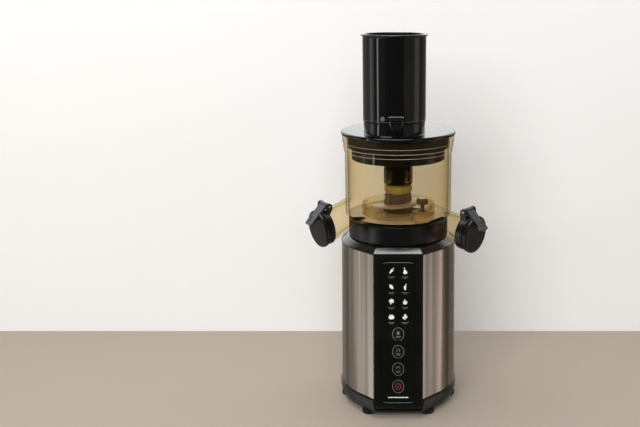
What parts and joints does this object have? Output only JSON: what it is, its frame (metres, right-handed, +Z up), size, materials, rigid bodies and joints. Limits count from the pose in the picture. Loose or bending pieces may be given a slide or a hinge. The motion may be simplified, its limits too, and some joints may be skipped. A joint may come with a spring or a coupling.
{
  "type": "slow juicer",
  "caption": "Upright slow juicer with steel-wrapped motor base, clear amber bowl, capped spouts, auger drive and a wide lift-off feed chute.",
  "frame": {"origin": "on the auger's axis, on the surface that the feet stand on", "axes": "+Z up along the auger's axis, -Y the front with the control panel, +X the user's right"},
  "size_m": [0.2098, 0.1663, 0.45],
  "materials": {
    "gloss_black": "polished black ABS",
    "satin_black": "satin black ABS",
    "brushed_steel": "brushed stainless wrap, grain running round the body",
    "amber_plastic": "clear amber tint, see-through, polished",
    "smoked_plastic": "clear smoked brown tint, see-through",
    "auger_brown": "dark brown ultem-like plastic",
    "collar_yellow": "olive yellow plastic",
    "silicone": "grey food-grade silicone",
    "foot_rubber": "black rubber",
    "plated_steel": "bright plated steel",
    "gear_nylon": "natural nylon",
    "board_green": "solder-masked board",
    "button_grey": "dark grey button caps with printed rings"
  },
  "bodies": {
    "root": {"base_skirt": "satin_black", "housing_shell": "satin_black", "steel_wrap": "brushed_steel", "front_panel": "satin_black", "control_plate": "gloss_black", "top_cover": "satin_black", "control_board": "board_green", "motor_can": "plated_steel", "gearbox_lower_plate": "plated_steel", "gearbox_upper_plate": "plated_steel", "lower_bearing": "plated_steel", "upper_bearing": "plated_steel", "shaft_seal": "silicone", "cord_inlet": "foot_rubber", "idler_pin": "plated_steel", "foot_1": "foot_rubber", "foot_2": "foot_rubber", "foot_3": "foot_rubber", "foot_4": "foot_rubber", "foot_5": "foot_rubber", "foot_6": "foot_rubber", "base_screw_1": "plated_steel", "base_screw_2": "plated_steel", "base_screw_3": "plated_steel", "base_screw_4": "plated_steel"},
    "drive": {"drive_shaft": "plated_steel", "output_gear": "gear_nylon"},
    "idler": {"idler_gear": "gear_nylon"},
    "rotor": {"rotor_shaft": "plated_steel", "rotor_pinion": "plated_steel", "cooling_fan": "satin_black"},
    "button_1_body": {"button_1": "button_grey"},
    "button_2_body": {"button_2": "button_grey"},
    "button_3_body": {"button_3": "button_grey"},
    "button_4_body": {"button_4": "button_grey"},
    "bowl_body": {"bowl": "amber_plastic", "bowl_foot": "satin_black", "bowl_seal": "silicone", "juice_strainer": "amber_plastic", "outlet_valve": "smoked_plastic", "left_spout_collar": "satin_black", "right_spout_collar": "satin_black", "left_hinge_pin": "plated_steel", "right_hinge_pin": "plated_steel"},
    "left_cap_body": {"left_cap": "satin_black", "left_cap_seal": "silicone", "left_lever": "satin_black"},
    "right_cap_body": {"right_cap": "satin_black", "right_cap_seal": "silicone", "right_lever": "satin_black"},
    "auger_body": {"auger": "auger_brown", "auger_collar": "collar_yellow", "auger_stem": "gloss_black"},
    "lid_body": {"lid": "gloss_black", "lid_gasket": "silicone", "hub_tube": "smoked_plastic", "stem_bush": "gear_nylon"},
    "hopper_body": {"hopper": "gloss_black", "latch_pin": "plated_steel"},
    "latch_body": {"chute_latch": "gloss_black"}
  },
  "joints": [
    {"name": "drive_spin", "type": "hinge", "parent": "root", "child": "drive", "pos_m": [0, 0, 0.18], "axis": [0, 0, 1], "continuous": true},
    {"name": "idler_spin", "type": "hinge", "parent": "root", "child": "idler", "pos_m": [0, 0.0385, 0.14], "axis": [0, 0, 1], "continuous": true},
    {"name": "rotor_spin", "type": "hinge", "parent": "root", "child": "rotor", "pos_m": [0.00829, 0.01598, 0.08], "axis": [0, 0, 1], "continuous": true},
    {"name": "bowl_lift", "type": "slide", "parent": "root", "child": "bowl_body", "axis": [0, 0, 1], "range_m": [0, 0.05]},
    {"name": "auger_spin", "type": "hinge", "parent": "bowl_body", "child": "auger_body", "pos_m": [0, 0, 0.25], "axis": [0, 0, 1], "continuous": true},
    {"name": "lid_lift", "type": "slide", "parent": "bowl_body", "child": "lid_body", "axis": [0, 0, 1], "range_m": [0, 0.085]},
    {"name": "hopper_lift", "type": "slide", "parent": "lid_body", "child": "hopper_body", "axis": [0, 0, 1], "range_m": [0, 0.04]},
    {"name": "latch_swing", "type": "hinge", "parent": "hopper_body", "child": "latch_body", "pos_m": [-0.0021, -0.0586, 0.3598], "axis": [-1, 0, 0], "range_deg": [0, 35]},
    {"name": "left_cap_swing", "type": "hinge", "parent": "bowl_body", "child": "left_cap_body", "pos_m": [-0.0838, -0.05442, 0.25937], "axis": [-0.5446, 0.8387, 0], "range_deg": [0, 110]},
    {"name": "right_cap_swing", "type": "hinge", "parent": "bowl_body", "child": "right_cap_body", "pos_m": [0.07957, -0.05996, 0.25417], "axis": [-0.6018, -0.7986, 0], "range_deg": [0, 110]},
    {"name": "button_1_press", "type": "slide", "parent": "root", "child": "button_1_body", "axis": [0, 1, 0], "range_m": [0, 0.0008], "stiffness_N_per_m": 800},
    {"name": "button_2_press", "type": "slide", "parent": "root", "child": "button_2_body", "axis": [0, 1, 0], "range_m": [0, 0.0008], "stiffness_N_per_m": 800},
    {"name": "button_3_press", "type": "slide", "parent": "root", "child": "button_3_body", "axis": [0, 1, 0], "range_m": [0, 0.0008], "stiffness_N_per_m": 800},
    {"name": "button_4_press", "type": "slide", "parent": "root", "child": "button_4_body", "axis": [0, 1, 0], "range_m": [0, 0.0008], "stiffness_N_per_m": 800}
  ],
  "couplings": [
    {"joint": "idler_spin", "follows": "drive_spin", "ratio": -3.4},
    {"joint": "rotor_spin", "follows": "drive_spin", "ratio": 10.2},
    {"joint": "auger_spin", "follows": "drive_spin", "ratio": 1}
  ]
}
